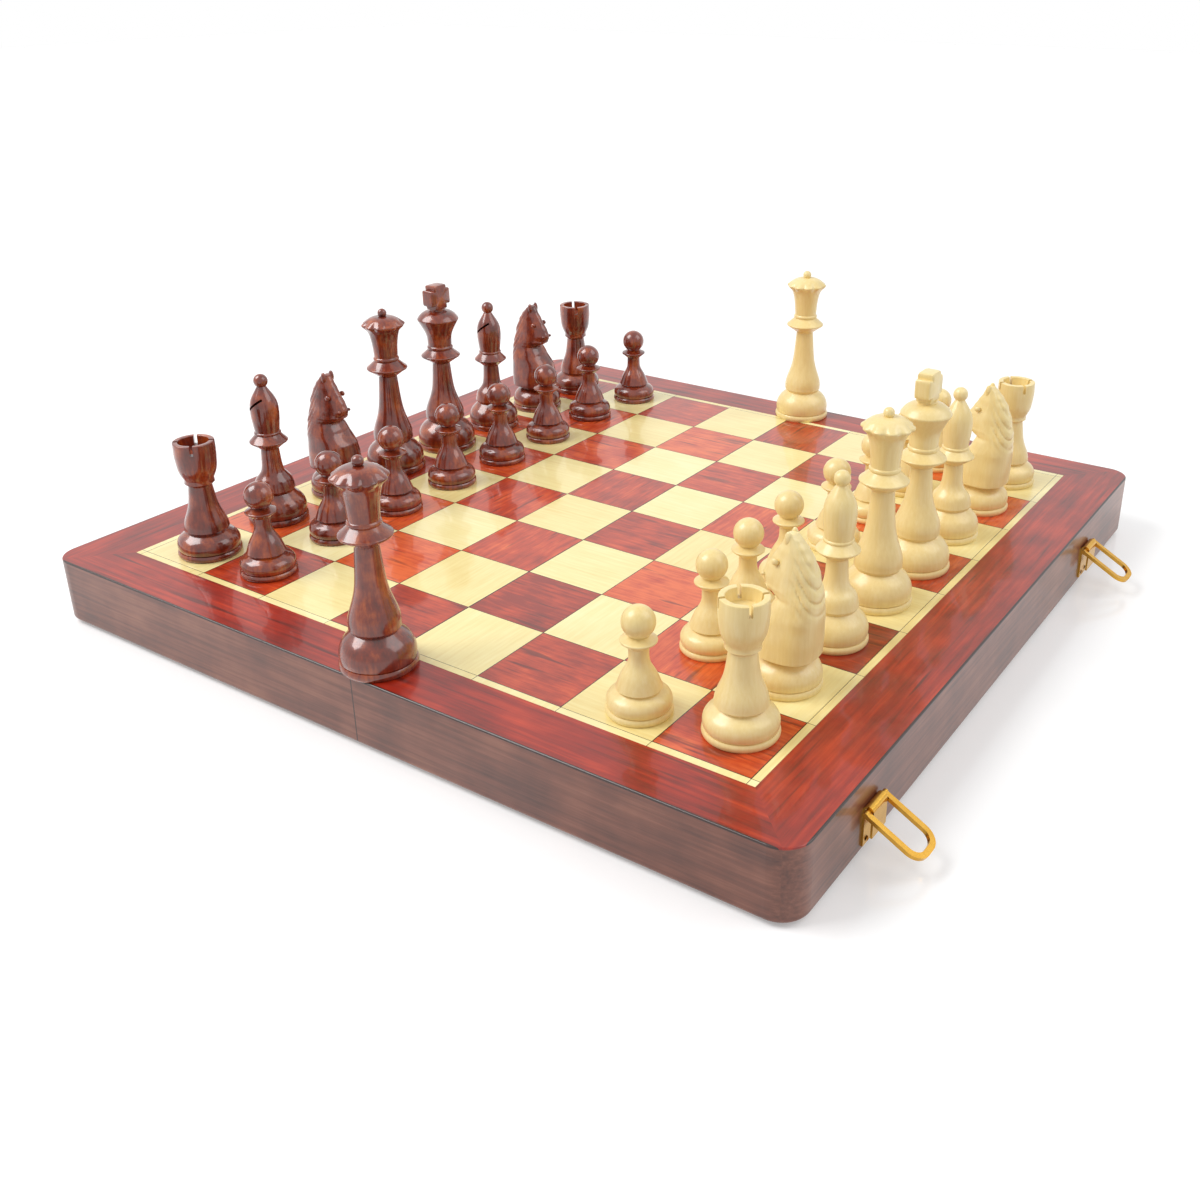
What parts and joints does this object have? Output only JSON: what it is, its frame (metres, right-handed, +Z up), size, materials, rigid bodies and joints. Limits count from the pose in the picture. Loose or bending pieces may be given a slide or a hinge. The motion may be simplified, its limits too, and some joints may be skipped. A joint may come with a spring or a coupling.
{
  "type": "chess and backgammon set",
  "caption": "Folding wooden games case, opened flat: inlaid chess board with its pieces on top, backgammon field inside, brass hinges, swing clasps and hooks.",
  "frame": {"origin": "on the table, under the middle of the whole set's bounding box, clasp loops and hooks included; the fold line lies a little to the hook side of it", "axes": "+X across the fold to the clasp side, +Y along the fold to the far edge, +Z up from the table through the chess board"},
  "size_m": [0.411, 0.378, 0.1222],
  "materials": {
    "walnut_lacquer": "gloss lacquer",
    "red_lacquer_veneer": "gloss lacquer",
    "maple_veneer": "gloss lacquer",
    "dark_turned_wood": "gloss lacquer",
    "boxwood": "satin lacquer",
    "brass": "polished"
  },
  "bodies": {
    "dark_half": {"case_frame_dark_half": "walnut_lacquer", "ply_panel_dark_half": "walnut_lacquer", "border_veneer_dark_half": "red_lacquer_veneer", "maple_inlay_dark_half": "maple_veneer", "red_squares_dark_half": "red_lacquer_veneer", "backgammon_field_dark_half": "walnut_lacquer", "pale_points_dark_half": "maple_veneer", "dark_points_dark_half": "red_lacquer_veneer", "hinge_leaves_dark_half": "brass", "brass_screws_dark_half": "brass", "hinge_pins": "brass", "clasp_hooks": "brass"},
    "light_half": {"case_frame_light_half": "walnut_lacquer", "ply_panel_light_half": "walnut_lacquer", "border_veneer_light_half": "red_lacquer_veneer", "maple_inlay_light_half": "maple_veneer", "red_squares_light_half": "red_lacquer_veneer", "backgammon_field_light_half": "walnut_lacquer", "pale_points_light_half": "maple_veneer", "dark_points_light_half": "red_lacquer_veneer", "hinge_leaves_light_half": "brass", "brass_screws_light_half": "brass", "clasp_plates": "brass"},
    "clasp_loop_near": {"clasp_loop_near": "brass"},
    "clasp_loop_far": {"clasp_loop_far": "brass"},
    "dark_rook_near": {"dark_rook_near": "dark_turned_wood"},
    "dark_pawn_1": {"dark_pawn_1": "dark_turned_wood"},
    "dark_bishop_near": {"dark_bishop_near": "dark_turned_wood"},
    "dark_pawn_2": {"dark_pawn_2": "dark_turned_wood"},
    "dark_knight_near": {"dark_knight_near": "dark_turned_wood"},
    "dark_pawn_3": {"dark_pawn_3": "dark_turned_wood"},
    "dark_queen": {"dark_queen": "dark_turned_wood"},
    "dark_pawn_4": {"dark_pawn_4": "dark_turned_wood"},
    "dark_king": {"dark_king": "dark_turned_wood"},
    "dark_pawn_5": {"dark_pawn_5": "dark_turned_wood"},
    "dark_bishop_far": {"dark_bishop_far": "dark_turned_wood"},
    "dark_pawn_6": {"dark_pawn_6": "dark_turned_wood"},
    "dark_knight_far": {"dark_knight_far": "dark_turned_wood"},
    "dark_pawn_7": {"dark_pawn_7": "dark_turned_wood"},
    "dark_rook_far": {"dark_rook_far": "dark_turned_wood"},
    "dark_pawn_8": {"dark_pawn_8": "dark_turned_wood"},
    "dark_queen_spare": {"dark_queen_spare": "dark_turned_wood"},
    "light_rook_near": {"light_rook_near": "boxwood"},
    "light_pawn_1": {"light_pawn_1": "boxwood"},
    "light_knight_near": {"light_knight_near": "boxwood"},
    "light_pawn_2": {"light_pawn_2": "boxwood"},
    "light_bishop_near": {"light_bishop_near": "boxwood"},
    "light_pawn_3": {"light_pawn_3": "boxwood"},
    "light_queen": {"light_queen": "boxwood"},
    "light_pawn_4": {"light_pawn_4": "boxwood"},
    "light_king": {"light_king": "boxwood"},
    "light_pawn_5": {"light_pawn_5": "boxwood"},
    "light_bishop_far": {"light_bishop_far": "boxwood"},
    "light_pawn_6": {"light_pawn_6": "boxwood"},
    "light_knight_far": {"light_knight_far": "boxwood"},
    "light_pawn_7": {"light_pawn_7": "boxwood"},
    "light_rook_far": {"light_rook_far": "boxwood"},
    "light_pawn_8": {"light_pawn_8": "boxwood"},
    "light_queen_spare": {"light_queen_spare": "boxwood"}
  },
  "joints": [
    {"name": "fold", "type": "hinge", "parent": "dark_half", "child": "light_half", "pos_m": [-0.00969, 0, 0.0016], "axis": [0, 1, 0], "range_deg": [0, 180]},
    {"name": "clasp_near_swing", "type": "hinge", "parent": "light_half", "child": "clasp_loop_near", "pos_m": [0.18411, -0.134, 0.0192], "axis": [0, 1, 0], "range_deg": [-116, 60]},
    {"name": "clasp_far_swing", "type": "hinge", "parent": "light_half", "child": "clasp_loop_far", "pos_m": [0.18411, 0.11, 0.0192], "axis": [0, 1, 0], "range_deg": [-116, 60]},
    {"name": "dark_rook_near_lift", "type": "slide", "parent": "dark_half", "child": "dark_rook_near", "axis": [0, 0, 1], "range_m": [0, 0.06]},
    {"name": "dark_pawn_1_lift", "type": "slide", "parent": "dark_half", "child": "dark_pawn_1", "axis": [0, 0, 1], "range_m": [0, 0.06]},
    {"name": "dark_bishop_near_lift", "type": "slide", "parent": "dark_half", "child": "dark_bishop_near", "axis": [0, 0, 1], "range_m": [0, 0.06]},
    {"name": "dark_pawn_2_lift", "type": "slide", "parent": "dark_half", "child": "dark_pawn_2", "axis": [0, 0, 1], "range_m": [0, 0.06]},
    {"name": "dark_knight_near_lift", "type": "slide", "parent": "dark_half", "child": "dark_knight_near", "axis": [0, 0, 1], "range_m": [0, 0.06]},
    {"name": "dark_pawn_3_lift", "type": "slide", "parent": "dark_half", "child": "dark_pawn_3", "axis": [0, 0, 1], "range_m": [0, 0.06]},
    {"name": "dark_queen_lift", "type": "slide", "parent": "dark_half", "child": "dark_queen", "axis": [0, 0, 1], "range_m": [0, 0.06]},
    {"name": "dark_pawn_4_lift", "type": "slide", "parent": "dark_half", "child": "dark_pawn_4", "axis": [0, 0, 1], "range_m": [0, 0.06]},
    {"name": "dark_king_lift", "type": "slide", "parent": "dark_half", "child": "dark_king", "axis": [0, 0, 1], "range_m": [0, 0.06]},
    {"name": "dark_pawn_5_lift", "type": "slide", "parent": "dark_half", "child": "dark_pawn_5", "axis": [0, 0, 1], "range_m": [0, 0.06]},
    {"name": "dark_bishop_far_lift", "type": "slide", "parent": "dark_half", "child": "dark_bishop_far", "axis": [0, 0, 1], "range_m": [0, 0.06]},
    {"name": "dark_pawn_6_lift", "type": "slide", "parent": "dark_half", "child": "dark_pawn_6", "axis": [0, 0, 1], "range_m": [0, 0.06]},
    {"name": "dark_knight_far_lift", "type": "slide", "parent": "dark_half", "child": "dark_knight_far", "axis": [0, 0, 1], "range_m": [0, 0.06]},
    {"name": "dark_pawn_7_lift", "type": "slide", "parent": "dark_half", "child": "dark_pawn_7", "axis": [0, 0, 1], "range_m": [0, 0.06]},
    {"name": "dark_rook_far_lift", "type": "slide", "parent": "dark_half", "child": "dark_rook_far", "axis": [0, 0, 1], "range_m": [0, 0.06]},
    {"name": "dark_pawn_8_lift", "type": "slide", "parent": "dark_half", "child": "dark_pawn_8", "axis": [0, 0, 1], "range_m": [0, 0.06]},
    {"name": "dark_queen_spare_lift", "type": "slide", "parent": "light_half", "child": "dark_queen_spare", "axis": [0, 0, 1], "range_m": [0, 0.06]},
    {"name": "light_rook_near_lift", "type": "slide", "parent": "light_half", "child": "light_rook_near", "axis": [0, 0, 1], "range_m": [0, 0.06]},
    {"name": "light_pawn_1_lift", "type": "slide", "parent": "light_half", "child": "light_pawn_1", "axis": [0, 0, 1], "range_m": [0, 0.06]},
    {"name": "light_knight_near_lift", "type": "slide", "parent": "light_half", "child": "light_knight_near", "axis": [0, 0, 1], "range_m": [0, 0.06]},
    {"name": "light_pawn_2_lift", "type": "slide", "parent": "light_half", "child": "light_pawn_2", "axis": [0, 0, 1], "range_m": [0, 0.06]},
    {"name": "light_bishop_near_lift", "type": "slide", "parent": "light_half", "child": "light_bishop_near", "axis": [0, 0, 1], "range_m": [0, 0.06]},
    {"name": "light_pawn_3_lift", "type": "slide", "parent": "light_half", "child": "light_pawn_3", "axis": [0, 0, 1], "range_m": [0, 0.06]},
    {"name": "light_queen_lift", "type": "slide", "parent": "light_half", "child": "light_queen", "axis": [0, 0, 1], "range_m": [0, 0.06]},
    {"name": "light_pawn_4_lift", "type": "slide", "parent": "light_half", "child": "light_pawn_4", "axis": [0, 0, 1], "range_m": [0, 0.06]},
    {"name": "light_king_lift", "type": "slide", "parent": "light_half", "child": "light_king", "axis": [0, 0, 1], "range_m": [0, 0.06]},
    {"name": "light_pawn_5_lift", "type": "slide", "parent": "light_half", "child": "light_pawn_5", "axis": [0, 0, 1], "range_m": [0, 0.06]},
    {"name": "light_bishop_far_lift", "type": "slide", "parent": "light_half", "child": "light_bishop_far", "axis": [0, 0, 1], "range_m": [0, 0.06]},
    {"name": "light_pawn_6_lift", "type": "slide", "parent": "light_half", "child": "light_pawn_6", "axis": [0, 0, 1], "range_m": [0, 0.06]},
    {"name": "light_knight_far_lift", "type": "slide", "parent": "light_half", "child": "light_knight_far", "axis": [0, 0, 1], "range_m": [0, 0.06]},
    {"name": "light_pawn_7_lift", "type": "slide", "parent": "light_half", "child": "light_pawn_7", "axis": [0, 0, 1], "range_m": [0, 0.06]},
    {"name": "light_rook_far_lift", "type": "slide", "parent": "light_half", "child": "light_rook_far", "axis": [0, 0, 1], "range_m": [0, 0.06]},
    {"name": "light_pawn_8_lift", "type": "slide", "parent": "light_half", "child": "light_pawn_8", "axis": [0, 0, 1], "range_m": [0, 0.06]},
    {"name": "light_queen_spare_lift", "type": "slide", "parent": "light_half", "child": "light_queen_spare", "axis": [0, 0, 1], "range_m": [0, 0.06]}
  ]
}
